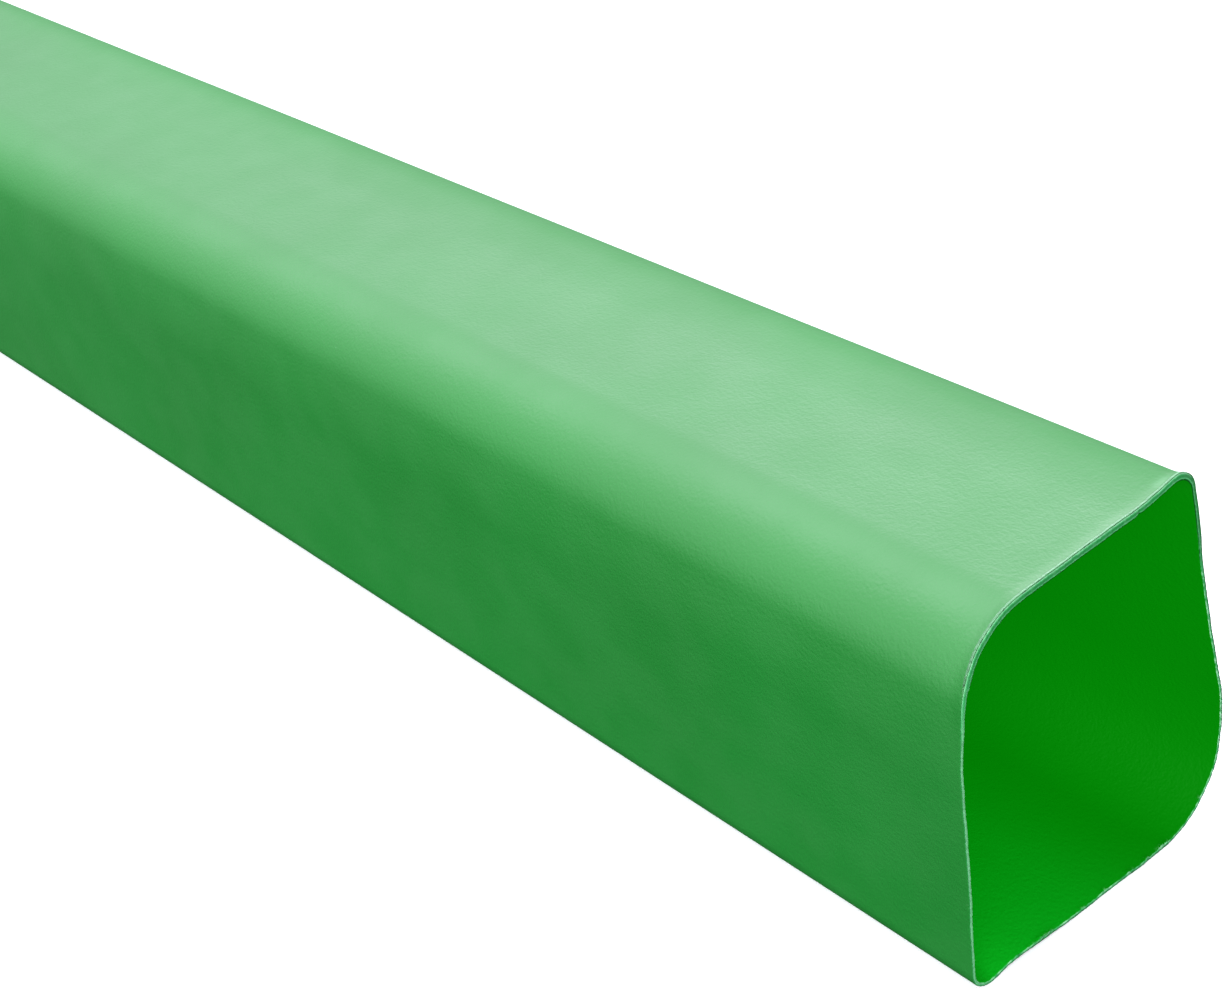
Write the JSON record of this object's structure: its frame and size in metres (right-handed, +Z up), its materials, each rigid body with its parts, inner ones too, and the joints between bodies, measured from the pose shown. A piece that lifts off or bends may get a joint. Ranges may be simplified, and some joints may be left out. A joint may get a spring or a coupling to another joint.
{
  "type": "heat-shrink sleeve",
  "caption": "Cut length of thin-walled polyolefin heat-shrink sleeve, opened from its lay-flat fold, that slides over a cable or bundle and shrinks onto it when heated.",
  "frame": {"origin": "on the resting plane, under the middle of the sleeve's box", "axes": "+Y along the sleeve, from the front opening to the rear opening; +X to the right when looking into the front opening; +Z up from the resting plane"},
  "size_m": [0.069, 0.5, 0.073],
  "materials": {
    "green_polyolefin": "satin extruded polyolefin with a very fine orange-peel grain"
  },
  "bodies": {
    "root": {"sleeve": "green_polyolefin"}
  },
  "joints": []
}
